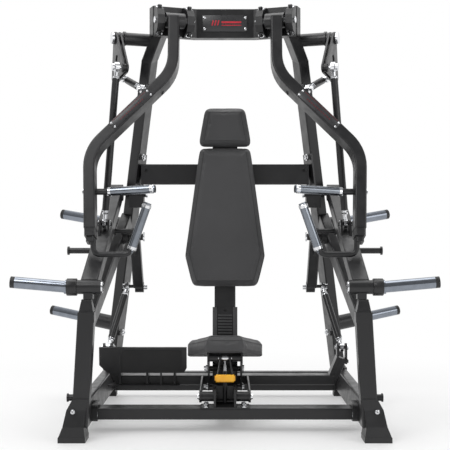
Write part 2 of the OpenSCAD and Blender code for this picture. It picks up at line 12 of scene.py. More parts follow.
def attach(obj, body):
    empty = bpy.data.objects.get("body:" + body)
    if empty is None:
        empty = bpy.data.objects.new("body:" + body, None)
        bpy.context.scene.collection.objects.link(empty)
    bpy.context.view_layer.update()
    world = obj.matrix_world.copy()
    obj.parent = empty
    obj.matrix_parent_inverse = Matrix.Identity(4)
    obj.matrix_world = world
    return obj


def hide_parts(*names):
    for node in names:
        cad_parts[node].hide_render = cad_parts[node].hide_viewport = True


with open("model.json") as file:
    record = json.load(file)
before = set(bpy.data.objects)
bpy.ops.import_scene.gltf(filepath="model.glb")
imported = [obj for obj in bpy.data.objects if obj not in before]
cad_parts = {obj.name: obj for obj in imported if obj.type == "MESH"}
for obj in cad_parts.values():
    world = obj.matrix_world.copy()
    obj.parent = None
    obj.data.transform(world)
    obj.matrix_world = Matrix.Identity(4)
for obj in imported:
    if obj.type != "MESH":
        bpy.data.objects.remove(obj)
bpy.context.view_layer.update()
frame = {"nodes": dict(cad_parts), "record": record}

# Angles of the part, and its places in millimetres. Those of paired pieces are for the left side.
YAW = math.radians(20)
PITCH = math.radians(13.8)
LEAN = math.radians(6.5)
SEAT_TILT = math.radians(11.5)
HORN_BACK = math.radians(21)
STORE_TILT = math.radians(9)
LOAD_TILT = math.radians(5)
POST_Y = -52
SEAT_AT = (-285, 415)
SEAT_THICK = 75
BACK_Z, HEAD_Z = 628, 1289
PAD_BACK = -38
# press-arm frame: outward, forward, up from the pivot
CRANK_SHAFT = (0, -150, -70)
ROD_STUD = (269, -20, -226)
LINK_EYE = (193, -190, -250)
ARM_STUD = (168, 50, -330)
# machine frame
LEVER_SHAFT = (-538, 150, 1069)
ROD_EYE = (-551, -200, 917)
HUB_Y, HUB_Z = -540, 647
PEDAL_EYE = (-564, 60, 319)
ROCKER_EYE = (-485, 200, 605)
UPPER_GRIP = ((-516, -354, 1057), (-314, -392, 1068))
LOOP_GRIP = ((-407, -421, 804), (-338, -433, 998))
UPRIGHT_FOOT = np.array([-607, 518, 60.0])
UPRIGHT_TOP = np.array([-363, 50, 1703.0])
# storage horns: name, height, length of the stub, whole length
HORNS = (("upper", 905, 100, 374), ("lower", 395, 120, 378))
# carriage rollers and gas spring, in the frame of the leaning post (forward, up)
ROLLERS = ((-54, 237), (-54, 150), (44, 222))
SPRING_Y = -244
# pivot of the left press arm and middle of the head beam, in metres
PIVOT = Vector((-0.235, -0.135, 1.857))
BEAM_Z = 1.861
SIDES = (("l", 1), ("r", -1))


# ---------- small helpers ----------
def mirror(v, s):
    return Vector((v[0] * s, v[1], v[2]))


def arm_point(u, v, z, s=1):
    """Point in the left arm frame (outward, forward, up in millimetres), mirrored for the right side."""
    c, k = math.cos(math.pi + YAW), math.sin(math.pi + YAW)
    p = PIVOT + Vector((u * c - v * k, u * k + v * c, z)) / 1000
    return mirror(p, s)


def arm_axis(s=1):
    return mirror((math.cos(math.pi + YAW), math.sin(math.pi + YAW), 0), s)


def lean_point(x, y, z):
    """Point in the frame of the leaning back post, millimetres."""
    return Vector((x, POST_Y + y * math.cos(LEAN) + z * math.sin(LEAN),
                   -y * math.sin(LEAN) + z * math.cos(LEAN))) / 1000


def on_post(x, y, z, z0):
    """Same, with the leaning frame starting at height z0 on the post axis."""
    base = Vector((0, POST_Y + z0 * math.tan(LEAN), z0))
    return (base + Vector((x, y * math.cos(LEAN) + z * math.sin(LEAN),
                           -y * math.sin(LEAN) + z * math.cos(LEAN)))) / 1000


def make(name, bm, mat, body, smooth=40):
    me = bpy.data.meshes.new(name)
    bmesh.ops.recalc_face_normals(bm, faces=bm.faces)
    bm.to_mesh(me)
    bm.free()
    ob = bpy.data.objects.new(name, me)
    bpy.context.scene.collection.objects.link(ob)
    me.materials.append(mat)
    finish_piece(ob, body, smooth)
    return ob


def finish_piece(ob, body, smooth=40):
    shade(ob, smooth)
    if body:
        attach(ob, body)


def shade(ob, angle):
    me = ob.data
    me.shade_smooth()
    if angle < 180:
        with bpy.context.temp_override(object=ob, active_object=ob, selected_objects=[ob],
                                       selected_editable_objects=[ob]):
            bpy.ops.object.shade_smooth_by_angle(angle=math.radians(angle))


def frame_of(d, up=(0, 0, 1)):
    d = Vector(d).normalized()
    up = Vector(up)
    if abs(d.dot(up)) > 0.98:
        up = Vector((0, 1, 0))
    x = up.cross(d).normalized()
    return Matrix((x, d.cross(x), d)).transposed()


def lathe(bm, p, d, profile, n=32):
    """Closed turned solid. The profile is (distance along d, radius) in metres, and a radius may be 0."""
    m = frame_of(d)
    rings = []
    for h, r in profile:
        if r <= 1e-6:
            rings.append([bm.verts.new(Vector(p) + m @ Vector((0, 0, h)))])
        else:
            rings.append([bm.verts.new(Vector(p) + m @ Vector((r * math.cos(a), r * math.sin(a), h)))
                          for a in (2 * math.pi * i / n for i in range(n))])
    for a, b in zip(rings, rings[1:]):
        if len(a) == 1 and len(b) == 1:
            continue
        for i in range(n):
            j = (i + 1) % n
            if len(a) == 1:
                bm.faces.new((a[0], b[i], b[j]))
            elif len(b) == 1:
                bm.faces.new((a[i], b[0], a[j]))
            else:
                bm.faces.new((a[i], b[i], b[j], a[j]))
    for ring, flip in ((rings[0], True), (rings[-1], False)):
        if len(ring) > 1:
            bm.faces.new(ring[::-1] if flip else ring)


def bridge(bm, rings):
    """Quads between neighbouring rings of equal count."""
    n = len(rings[0])
    for a, b in zip(rings, rings[1:]):
        for i in range(n):
            j = (i + 1) % n
            bm.faces.new((a[i], a[j], b[j], b[i]))


def hex_solid(bm, p, m, r, steps):
    """Closed six-sided solid along the z axis of m; steps are (height, factor on the radius r)."""
    rings = []
    for h, k in steps:
        rings.append([bm.verts.new(Vector(p) + m @ Vector((r * k * math.cos(a), r * k * math.sin(a), h)))
                      for a in (math.pi / 3 * i for i in range(6))])
    bridge(bm, rings)
    bm.faces.new(rings[0][::-1])
    bm.faces.new(rings[-1])


def hex_bolt(bm, p, d, r=0.011, h=0.008, washer=1.4):
    """Hex head with chamfered top, socket dimple and washer."""
    lathe(bm, p, d, [(0, r * washer), (0.0018, r * washer), (0.0024, r * washer * 0.94), (0.0024, 0)], 28)
    hex_solid(bm, p, frame_of(d), r, ((0.002, 1.0), (h * 0.8, 1.0), (h, 0.86), (h, 0.46), (h * 0.55, 0.42)))


def dome_bolt(bm, p, d, r=0.011, h=0.006):
    """Domed cap bolt with a socket."""
    prof = [(0, r * 1.15), (0.0015, r * 1.15), (0.0018, r)]
    prof += [(0.0018 + h * math.sin(t), r * (0.42 + 0.58 * math.cos(t))) for t in (0.3, 0.6, 0.9, 1.2, 1.5)]
    prof += [(h * 0.6, r * 0.4), (h * 0.6, 0)]
    lathe(bm, p, d, prof, 28)


def rounded_box(bm, size, matrix, r=0.003, seg=2):
    """Box with rounded edges placed by a matrix."""
    tmp = bmesh.new()
    bmesh.ops.create_cube(tmp, size=1.0)
    for v in tmp.verts:
        v.co = Vector((v.co.x * size[0], v.co.y * size[1], v.co.z * size[2]))
    bmesh.ops.bevel(tmp, geom=list(tmp.edges), offset=r, segments=seg, profile=0.5, affect="EDGES")
    me = bpy.data.meshes.new("tmp")
    tmp.to_mesh(me)
    tmp.free()
    me.transform(matrix)
    bm.from_mesh(me)
    bpy.data.meshes.remove(me)


def loop_tube(bm, pts, r, n=8):
    """Closed tube along a closed loop of points."""
    pts = [Vector(p) for p in pts]
    m = len(pts)
    centre = sum(pts, Vector()) / m
    nrm = Vector()
    for i in range(m):
        nrm += (pts[i] - centre).cross(pts[(i + 1) % m] - centre)
    nrm.normalize()
    rings = []
    for i, p in enumerate(pts):
        d = (pts[(i + 1) % m] - pts[i - 1]).normalized()
        x = nrm.cross(d).normalized()
        y = d.cross(x)
        rings.append([bm.verts.new(p + x * r * math.cos(a) + y * r * math.sin(a))
                      for a in (2 * math.pi * k / n for k in range(n))])
    for i in range(m):
        a, b = rings[i], rings[(i + 1) % m]
        for k in range(n):
            j = (k + 1) % n
            bm.faces.new((a[k], a[j], b[j], b[k]))


# ---------- materials ----------
def shader(name, color, rough, metallic=0.0, sheen=0.0):
    m = bpy.data.materials.new(name)
    m.use_nodes = True
    nt = m.node_tree
    b = nt.nodes["Principled BSDF"]
    b.inputs["Base Color"].default_value = (*color, 1)
    b.inputs["Roughness"].default_value = rough
    b.inputs["Metallic"].default_value = metallic
    b.inputs["Sheen Weight"].default_value = sheen
    m.diffuse_color = (*color, 1)
    return m, nt, b


def noise(nt, scale, detail=3.0, rough=0.5):
    tc = nt.nodes.new("ShaderNodeTexCoord")
    n = nt.nodes.new("ShaderNodeTexNoise")
    n.inputs["Scale"].default_value = scale
    n.inputs["Detail"].default_value = detail
    n.inputs["Roughness"].default_value = rough
    nt.links.new(tc.outputs["Object"], n.inputs["Vector"])
    return n.outputs["Fac"]


def ramp(nt, fac, stops):
    r = nt.nodes.new("ShaderNodeValToRGB")
    el = r.color_ramp.elements
    while len(el) < len(stops):
        el.new(0.5)
    for e, (p, c) in zip(el, stops):
        e.position = p
        e.color = (*c, 1)
    nt.links.new(fac, r.inputs["Fac"])
    return r.outputs["Color"]


def bump(nt, b, height, strength, distance):
    n = nt.nodes.new("ShaderNodeBump")
    n.inputs["Strength"].default_value = strength
    n.inputs["Distance"].default_value = distance
    nt.links.new(height, n.inputs["Height"])
    nt.links.new(n.outputs["Normal"], b.inputs["Normal"])
    return n


def tint(c, k):
    return tuple(min(1, v * k) for v in c)


def powder(name, color, rough=0.42, spec=0.5):
    m, nt, b = shader(name, color, rough)
    b.inputs["Specular IOR Level"].default_value = spec
    col = ramp(nt, noise(nt, 6, 4, 0.6), [(0.3, tint(color, 0.86)), (0.7, tint(color, 1.16))])
    nt.links.new(col, b.inputs["Base Color"])
    nt.links.new(ramp(nt, noise(nt, 24, 3), [(0.3, (rough - 0.06,) * 3), (0.7, (rough + 0.08,) * 3)]),
                 b.inputs["Roughness"])
    bump(nt, b, noise(nt, 900, 2, 0.6), 0.22, 0.0004)
    return m


def metal(name, color, rough):
    m, nt, b = shader(name, color, rough, 1.0)
    col = ramp(nt, noise(nt, 30, 3), [(0.3, tint(color, 0.9)), (0.7, tint(color, 1.08))])
    nt.links.new(col, b.inputs["Base Color"])
    fac = noise(nt, 60, 4, 0.6)
    nt.links.new(ramp(nt, fac, [(0.3, (max(0.03, rough - 0.03),) * 3), (0.7, (rough + 0.04,) * 3)]),
                 b.inputs["Roughness"])
    return m


def soft_plastic(name, color, rough, grain=500, strength=0.3):
    m, nt, b = shader(name, color, rough)
    col = ramp(nt, noise(nt, 14, 4), [(0.3, tint(color, 0.85)), (0.7, tint(color, 1.2))])
    nt.links.new(col, b.inputs["Base Color"])
    bump(nt, b, noise(nt, grain, 3), strength, 0.0006)
    return m


def leather(name, color):
    m, nt, b = shader(name, color, 0.52, sheen=0.12)
    b.inputs["Sheen Roughness"].default_value = 0.5
    tc = nt.nodes.new("ShaderNodeTexCoord")
    vo = nt.nodes.new("ShaderNodeTexVoronoi")
    vo.feature = "DISTANCE_TO_EDGE"
    vo.inputs["Scale"].default_value = 420
    nt.links.new(tc.outputs["Object"], vo.inputs["Vector"])
    big = noise(nt, 5, 5, 0.6)
    col = ramp(nt, big, [(0.3, tint(color, 0.88)), (0.7, tint(color, 1.12))])
    nt.links.new(col, b.inputs["Base Color"])
    nt.links.new(ramp(nt, noise(nt, 40, 3), [(0.3, (0.46,) * 3), (0.7, (0.6,) * 3)]), b.inputs["Roughness"])
    mx = nt.nodes.new("ShaderNodeMath")
    mx.operation = "ADD"
    nt.links.new(vo.outputs["Distance"], mx.inputs[0])
    nt.links.new(noise(nt, 60, 3), mx.inputs[1])
    bump(nt, b, mx.outputs[0], 0.25, 0.0005)
    return m


PAINT = powder("powder_paint", (0.011, 0.011, 0.012), 0.34)
COVER = powder("cover_paint", (0.016, 0.016, 0.017), 0.34)
STEEL = metal("sleeve_steel", (0.24, 0.262, 0.30), 0.13)
GRIP = metal("grip_steel", (0.22, 0.24, 0.27), 0.16)
CHROME = metal("chrome", (0.78, 0.79, 0.81), 0.12)
RUBBER = soft_plastic("rubber", (0.009, 0.009, 0.0095), 0.5)
PAD = leather("pad_vinyl", (0.042, 0.042, 0.044))
STITCH = soft_plastic("stitch", (0.02, 0.02, 0.021), 0.6, 1200, 0.4)
HANDLE = soft_plastic("handle_orange", (1.0, 0.46, 0.025), 0.3, 200, 0.05)
MARK = soft_plastic("mark_red", (0.45, 0.015, 0.03), 0.45, 300, 0.05)
DIM_MARK = soft_plastic("mark_dim_red", (0.10, 0.006, 0.010), 0.45, 300, 0.05)
# lighter grey plastic of the guard ribs: partly its own colour, partly a painted highlight for the light
# caught by the rib edges
RIB_PLASTIC_AND_HIGHLIGHT = soft_plastic("rib_plastic_and_painted_highlight", (0.05, 0.05, 0.052), 0.45, 700, 0.15)
PLATE = powder("label_plate", (0.032, 0.032, 0.034), 0.3)

SLOT_MATERIAL = {"frame_paint": PAINT, "cover_paint": COVER, "steel": STEEL, "grip_steel": GRIP,
                 "chrome": CHROME, "rubber": RUBBER, "pad": PAD, "handle": HANDLE, "gas_spring": PAINT}
node_slot = {r["node"]: r["material_slot"] for r in frame["record"]["subparts"]}
for n, o in frame["nodes"].items():
    o.data.materials.clear()
    o.data.materials.append(SLOT_MATERIAL[node_slot[n]])


def zone(node, mat, p, d, r, lo, hi):
    """Faces of a CAD node inside a cylinder get another material. Millimetres; d is the axis direction."""
    me = frame["nodes"][node].data
    if mat.name not in me.materials:
        me.materials.append(mat)
    idx = me.materials.find(mat.name)
    p, d = Vector(p) / 1000, Vector(d).normalized()
    co = np.empty(len(me.vertices) * 3)
    me.vertices.foreach_get("co", co)
    rel = co.reshape(-1, 3) - np.array(p)
    h = rel @ np.array(d)
    rad = np.linalg.norm(rel - np.outer(h, np.array(d)), axis=1)
    ok = (rad <= r / 1000) & (h >= lo / 1000) & (h <= hi / 1000)
    for f in me.polygons:
        if all(ok[v] for v in f.vertices):
            f.material_index = idx


# ---------- camera, floor and light ----------
cam_data = bpy.data.cameras.new("camera")
cam_data.lens = 80
cam_data.sensor_width = 36
cam = bpy.data.objects.new("camera", cam_data)
cam.location = (0, -4.775, 0.91)
cam.rotation_euler = (math.radians(90), 0, 0)
bpy.context.scene.collection.objects.link(cam)
bpy.context.scene.camera = cam

fl = bmesh.new()
bmesh.ops.create_grid(fl, x_segments=1, y_segments=1, size=80)
floor_mat, fnt, fb = shader("floor", (0.93, 0.93, 0.93), 0.55)
fnt.links.new(ramp(fnt, noise(fnt, 3, 3), [(0.3, (0.92, 0.92, 0.92)), (0.7, (0.94, 0.94, 0.94))]),
              fb.inputs["Base Color"])
# the floor fades to a plain white backdrop away from the machine
tc = fnt.nodes.new("ShaderNodeTexCoord")
far = fnt.nodes.new("ShaderNodeVectorMath")
far.operation = "LENGTH"
fnt.links.new(tc.outputs["Object"], far.inputs[0])
fade = fnt.nodes.new("ShaderNodeMapRange")
fade.interpolation_type = "SMOOTHSTEP"
fade.inputs["To Min"].default_value = 0.27
fade.inputs["From Min"].default_value = 0.7
fade.inputs["From Max"].default_value = 2.6
fnt.links.new(far.outputs["Value"], fade.inputs["Value"])
glow = fnt.nodes.new("ShaderNodeEmission")
mix = fnt.nodes.new("ShaderNodeMixShader")
fnt.links.new(fade.outputs["Result"], mix.inputs["Fac"])
fnt.links.new(fb.outputs["BSDF"], mix.inputs[1])
fnt.links.new(glow.outputs["Emission"], mix.inputs[2])
fnt.links.new(mix.outputs["Shader"], fnt.nodes["Material Output"].inputs["Surface"])
floor = make("floor", fl, floor_mat, None, 180)

world = bpy.data.worlds.new("studio")
bpy.context.scene.world = world
world.use_nodes = True
world.node_tree.nodes["Background"].inputs[0].default_value = (1, 1, 1, 1)
# white behind the machine, dimmer in front of it, so that front faces stay dark and edges catch light
wnt = world.node_tree
wtc = wnt.nodes.new("ShaderNodeTexCoord")
wsep = wnt.nodes.new("ShaderNodeSeparateXYZ")
wmap = wnt.nodes.new("ShaderNodeMapRange")
wmap.inputs["From Min"].default_value = -0.7
wmap.inputs["From Max"].default_value = 0.75
wmap.inputs["To Min"].default_value = 0.3
wnt.links.new(wtc.outputs["Generated"], wsep.inputs[0])
wnt.links.new(wsep.outputs["Y"], wmap.inputs["Value"])
wnt.links.new(wmap.outputs["Result"], wnt.nodes["Background"].inputs["Strength"])
bpy.context.scene.view_settings.view_transform = "Standard"


def area(name, loc, target, size, power):
    d = bpy.data.lights.new(name, "AREA")
    d.shape = "RECTANGLE"
    d.size, d.size_y = size
    d.energy = power
    o = bpy.data.objects.new(name, d)
    o.location = loc
    o.rotation_mode = "QUATERNION"
    o.rotation_quaternion = (Vector(target) - Vector(loc)).to_track_quat("-Z", "Y")
    bpy.context.scene.collection.objects.link(o)


area("key", (-2.2, -3.2, 4.2), (0, 0, 0.8), (2.4, 2.4), 90)
area("fill", (3.4, -3.4, 2.2), (0, 0, 0.9), (3.0, 2.4), 45)
area("top", (0, 0.4, 4.6), (0, 0, 0), (3.2, 3.2), 70)

# ---------- pads ----------
def arc_outline(corners, seg=10):
    """Outline with rounded corners from (x, y, radius) corners, counter-clockwise, millimetres."""
    out = []
    n = len(corners)
    for i in range(n):
        p0, p1, p2 = (Vector(corners[(i + k) % n][:2]) for k in (-1, 0, 1))
        r = corners[i][2]
        a, b = (p0 - p1).normalized(), (p2 - p1).normalized()
        half = a.angle(b) / 2
        t = min(r / math.tan(half), (p0 - p1).length * 0.48, (p2 - p1).length * 0.48)
        s, e = p1 + a * t, p1 + b * t
        for k in range(seg + 1):
            u = k / seg
            out.append(s * (1 - u) ** 2 + p1 * 2 * u * (1 - u) + e * u * u)
    return out


def resample(pts, step):
    pts = [Vector(p) for p in pts]
    loop = pts + [pts[0]]
    acc = [0.0]
    for a, b in zip(loop, loop[1:]):
        acc.append(acc[-1] + (b - a).length)
    n = max(16, int(acc[-1] / step))
    out, j = [], 0
    for i in range(n):
        d = acc[-1] * i / n
        while acc[j + 1] < d:
            j += 1
        u = (d - acc[j]) / max(1e-9, acc[j + 1] - acc[j])
        out.append(loop[j].lerp(loop[j + 1], u))
    return out


def inset(pts, d):
    n = len(pts)
    out = []
    for i in range(n):
        t = (pts[(i + 1) % n] - pts[i - 1]).normalized()
        out.append(pts[i] + Vector((-t.y, t.x)) * d)
    return out


def pad(name, outline, place, thick, border, drop, body, node, cap=0.0035, grow=4):
    """Upholstered pad: flat back, upright side, sloping border and a crowned front panel.
    outline is in (x, y) millimetres; place maps (x, y, height above the back) to metres."""
    base = inset(resample(outline, 6), -grow)
    side = thick - drop
    steps = [(3, 0), (0, 3), (0, side * 0.5), (0, side), (border * 0.5, thick - drop * 0.42),
             (border, thick)]
    bm = bmesh.new()
    rings = []
    for off, h in steps:
        ring = inset(base, off) if off else base
        rings.append([bm.verts.new(place(p.x, p.y, h)) for p in ring])
    bridge(bm, rings)
    bm.faces.new(rings[0][::-1])
    bm.faces.new(rings[-1])
    bmesh.ops.triangulate(bm, faces=[f for f in bm.faces if len(f.verts) > 4])
    ob = make(name, bm, PAD, None, 180)
    back_n = (place(0, 0, 1) - place(0, 0, 0)).normalized()
    back_p = place(0, 0, 0)
    swell(ob, back_p, back_n, cap)
    seams(name, base, place, thick, border, drop, body, ob)
    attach(ob, body)
    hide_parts(node)
    return ob


def swell(ob, back_p, back_n, cap):
    """Puffs a pad with cloth pressure, capped, with its back held flat."""
    frames = 20
    pinned = 0.006
    bpy.context.view_layer.objects.active = ob
    for o in bpy.context.selected_objects:
        o.select_set(False)
    ob.select_set(True)
    rm = ob.modifiers.new("voxel", "REMESH")
    rm.mode = "VOXEL"
    rm.voxel_size = 0.0045
    bpy.ops.object.modifier_apply(modifier=rm.name)
    rest = np.array([v.co for v in ob.data.vertices])
    depth = (rest - np.array(back_p)) @ np.array(back_n)
    grp = ob.vertex_groups.new(name="pin")
    grp.add([int(i) for i in np.nonzero(depth < pinned)[0]], 1.0, "REPLACE")
    cl = ob.modifiers.new("cloth", "CLOTH")
    s = cl.settings
    s.quality = 4
    s.mass = 0.25
    s.use_pressure = True
    s.uniform_pressure_force = 4
    s.tension_stiffness = 18
    s.compression_stiffness = 18
    s.bending_stiffness = 2
    s.vertex_group_mass = "pin"
    s.effector_weights.gravity = 0
    cl.collision_settings.use_self_collision = False
    cl.point_cache.frame_start, cl.point_cache.frame_end = 1, frames
    for f in range(1, frames + 1):
        bpy.context.scene.frame_set(f)
    dg = bpy.context.evaluated_depsgraph_get()
    ev = ob.evaluated_get(dg).to_mesh()
    new = np.array([v.co for v in ev.vertices])
    ob.evaluated_get(dg).to_mesh_clear()
    ob.modifiers.remove(cl)
    bpy.context.scene.frame_set(1)
    move = new - rest
    size = np.linalg.norm(move, axis=1)
    k = np.where(size > cap, cap / np.maximum(size, 1e-9), 1.0)
    out = rest + move * k[:, None]
    ob.data.vertices.foreach_set("co", out.ravel())
    ob.data.update()
    sm = ob.modifiers.new("smooth", "SMOOTH")
    sm.factor, sm.iterations = 0.5, 1
    bpy.ops.object.modifier_apply(modifier=sm.name)
    sub = ob.modifiers.new("sub", "SUBSURF")
    sub.levels = sub.render_levels = 1
    bpy.ops.object.modifier_apply(modifier=sub.name)
    ob.data.shade_smooth()


def seams(name, base, place, thick, border, drop, body, skin=None):
    """Thin piping along the edge of the front panel and round the side."""
    bm = bmesh.new()
    tree = None
    if skin:
        tree = BVHTree.FromObject(skin, bpy.context.evaluated_depsgraph_get())
    for off, h in ((border + 1, thick), (0, thick - drop)):
        pts = [place(p.x, p.y, h) for p in inset(base, off)]
        if tree:
            pts = [tree.find_nearest(p)[0] for p in pts]
            for _ in range(2):
                pts = [(pts[i - 1] + pts[i] * 2 + pts[(i + 1) % len(pts)]) / 4 for i in range(len(pts))]
        loop_tube(bm, pts, 0.0012)
    ob = make(name + "_piping", bm, STITCH, body, 180)
    return ob


back_pts = arc_outline([(-149, -9, 24), (149, -9, 24), (186, 132, 14), (118, 643, 22), (-118, 643, 22),
                        (-186, 132, 14)])
pad("backrest_cushion", back_pts, lambda x, y, h: on_post(x, PAD_BACK - h, y, BACK_Z), 60, 20, 28, "frame",
    "backrest_pad")
head_pts = arc_outline([(-122, -4, 22), (122, -4, 22), (91, 173, 22), (-91, 173, 22)])
pad("headrest_cushion", head_pts, lambda x, y, h: on_post(x, PAD_BACK - h, y, HEAD_Z), 50, 20, 25, "frame",
    "headrest_pad")


def on_seat(x, y, h):
    z = h - SEAT_THICK
    return Vector((x, SEAT_AT[0] + y * math.cos(SEAT_TILT) + z * math.sin(SEAT_TILT),
                   SEAT_AT[1] - y * math.sin(SEAT_TILT) + z * math.cos(SEAT_TILT))) / 1000


seat_pts = arc_outline([(-80, 0, 10), (80, 0, 10), (175, 254, 22), (172, 304, 22), (68, 304, 12),
                        (66, 227, 14), (-66, 227, 14), (-68, 304, 12), (-172, 304, 22), (-175, 254, 22)])
pad("seat_cushion", seat_pts, on_seat, 74, 17, 20, "seat", "seat_pad", grow=2)

# ---------- chrome and rubber zones on CAD nodes ----------
for s_name, s in SIDES:
    am = arm_axis(s)

    def mm(p, s=s):
        return (p[0] * s, p[1], p[2])

    def ap(u, v, z, s=s):
        return arm_point(u, v, z, s) * 1000

    xo = (-s, 0, 0)
    zone("pivot_clamps", CHROME, ap(0, 0, 0), am, 15.6, -97, 97)
    zone("press_arm_" + s_name, CHROME, ap(*ARM_STUD), am, 8.4, -61, 17)
    zone("press_arm_" + s_name, CHROME, ap(*ARM_STUD), am, 14.4, 13.5, 22.5)
    zone("crank_stub_" + s_name, CHROME, ap(*CRANK_SHAFT), am, 15.4, 203, 263)
    zone("crank_stub_" + s_name, CHROME, ap(*CRANK_SHAFT), am, 27.9, 252, 263)
    zone("bell_crank_" + s_name, CHROME, ap(0, *ROD_STUD[1:]), am, 17.5, 246.5, 292)
    zone("bell_crank_" + s_name, CHROME, ap(0, *LINK_EYE[1:]), am, 14.5, 172, 216)
    zone("weight_arm_" + s_name, CHROME, mm((LEVER_SHAFT[0], HUB_Y, HUB_Z)), xo, 25.6, -21, -13.5)
    zone("weight_arm_" + s_name, CHROME, mm(ROD_EYE), xo, 15.8, -34, -24.5)
    zone("weight_arm_" + s_name, CHROME, mm(ROD_EYE), xo, 15.8, 24.5, 34)
    zone("lever_shaft_" + s_name, CHROME, mm(LEVER_SHAFT), xo, 27.6, -159, -149.5)
    zone("lever_shaft_" + s_name, CHROME, mm(LEVER_SHAFT), xo, 24.6, 40, 53)
    zone("slope_tube_" + s_name, CHROME, mm((-400, 73, 852)), xo, 22.6, -12, 4.5)
    zone("rocker_" + s_name, CHROME, mm((-435, 200, 605)), xo, 14.6, 60, 74)
    zone("rocker_" + s_name, CHROME, mm((-435, 200, 601)), xo, 12.6, -50, -30.5)
    zone("rocker_" + s_name, RUBBER, mm((-520, -20, 882)), xo, 18.6, -1, 43)
    zone("foot_lever", CHROME, mm((-116, -340, 150)), xo, 17, -2.5, 9)
    zone("foot_lever", CHROME, mm(PEDAL_EYE), xo, 15.8, 24.5, 33)
    zone("foot_lever", CHROME, mm(PEDAL_EYE), xo, 15.8, -33, -24.5)
    zone("load_horn_" + s_name, RUBBER, mm((-665, HUB_Y, HUB_Z)),
         (-s * math.cos(LOAD_TILT), 0, math.sin(LOAD_TILT)), 25.6, 224.5, 250)
    zone("upper_grip_" + s_name, PAINT, mm((-560, -354, 1057)), xo, 14.6, -52, 20)
    zone("upper_grip_" + s_name, CHROME, mm((-600, -354, 1057)), xo, 18, -1, 40)
    zone("loop_grip_" + s_name, PAINT, mm((-500, -421, 818)), (0, 1, 0), 98, -14, 14)
    for top, z, stub, end in HORNS:
        climb = (z - UPRIGHT_FOOT[2]) / (UPRIGHT_TOP[2] - UPRIGHT_FOOT[2])
        root = UPRIGHT_FOOT + (UPRIGHT_TOP - UPRIGHT_FOOT) * climb
        out = -math.cos(STORE_TILT)
        d = (out * math.cos(HORN_BACK) * s, -out * math.sin(HORN_BACK), math.sin(STORE_TILT))
        node = f"{top}_horn_{s_name}"
        zone(node, PAINT, mm(root), d, 45, -40, stub + 0.5)
        zone(node, RUBBER, mm(root), d, 26, end - 0.5, end + 20)
    zone("bumpers", PAINT, mm((-585, -540, 543)), (0, 0, 1), 46, -1, 44.2)
    for y, z in ROLLERS:
        zone("seat_carriage", CHROME, lean_point(-80 * s, y, z) * 1000, xo, 15.4, -1.5, 12)
for y, z in ROLLERS:
    zone("seat_carriage", CHROME, lean_point(-80, y, z) * 1000, (-1, 0, 0), 6.5, -1, 20)
    zone("seat_carriage", RUBBER, lean_point(0, y, z) * 1000, (1, 0, 0), 18.6, -57.5, 57.5)
zone("seat_carriage", CHROME, lean_point(0, SPRING_Y, 104) * 1000, (0, math.sin(LEAN), math.cos(LEAN)),
     6.6, -5, 172)
zone("seat_carriage", CHROME, lean_point(0, SPRING_Y, 284) * 1000, (1, 0, 0), 14.6, -31.5, 31.5)
zone("seat_handle", PAINT, (0, -262.3, 309.8), (1, 0, 0), 92, -38.5, 38.5)
zone("foot_pedal", RUBBER, (-346, 4, 268), (1, 0, 0), 60, -146, 146)

# ---------- detail pieces ----------
def piece(name, mat, body, build, smooth=40):
    bm = bmesh.new()
    build(bm)
    return make(name, bm, mat, body, smooth)


def beam_plate(bm):
    rounded_box(bm, (0.214, 0.006, 0.078), Matrix.Translation((0, -0.0565, BEAM_Z)), 0.0025)


def beam_screws(bm):
    for i in (-1, 1):
        for j in (-1, 1):
            dome_bolt(bm, (0.097 * i, -0.0592, BEAM_Z + 0.026 * j), (0, -1, 0), 0.0055, 0.003)


def beam_mark(bm):
    # generic mark: three slanted strokes in a frame
    for k in range(3):
        m = Matrix.Translation((-0.058 + 0.013 * k, -0.0598, BEAM_Z + 0.002))
        m = m @ Matrix.Rotation(math.radians(14), 4, "Y")
        rounded_box(bm, (0.006, 0.0012, 0.026), m, 0.0004, 1)
    rounded_box(bm, (0.094, 0.0012, 0.004), Matrix.Translation((0.03, -0.0598, BEAM_Z - 0.009)), 0.0004, 1)
    rounded_box(bm, (0.094, 0.0012, 0.009), Matrix.Translation((0.03, -0.0598, BEAM_Z + 0.005)), 0.0004, 1)


piece("beam_plate", PLATE, "frame", beam_plate)
piece("beam_screws", CHROME, "frame", beam_screws)
piece("beam_mark", MARK, "frame", beam_mark)


def guard(bm):
    # ribbed plastic face of the post guard, with its screw. The ribs and side strips are lighter grey than
    # the paint: partly the plastic's own colour, partly a painted highlight standing in for light on the rib
    # edges
    for k in range(8):
        m = Matrix.Translation(lean_point(0, -35.6, 481 - 14 * k)) @ Matrix.Rotation(-LEAN, 4, "X")
        rounded_box(bm, (0.067, 0.003, 0.0072), m, 0.001, 2)
    for i in (-1, 1):
        m = Matrix.Translation(lean_point(48.5 * i, -34.5, 300)) @ Matrix.Rotation(-LEAN, 4, "X")
        rounded_box(bm, (0.0205, 0.003, 0.441), m, 0.001, 2)


piece("guard_ribs", RIB_PLASTIC_AND_HIGHLIGHT, "frame", guard)
piece("guard_screw", RUBBER, "frame",
      lambda bm: dome_bolt(bm, lean_point(0, -33.5, 507), (0, -1, 0), 0.006, 0.0035))


def plane_point(x, y, d, s=1):
    """Point of the press-arm plane, millimetres: x across, y along the arm, d in front of it."""
    top = PIVOT * 1000 + Vector((0, -22, 0))
    return mirror(Vector((x, top.y - d * math.cos(PITCH) + y * math.sin(PITCH),
                          top.z + y * math.cos(PITCH) + d * math.sin(PITCH))) / 1000, s)


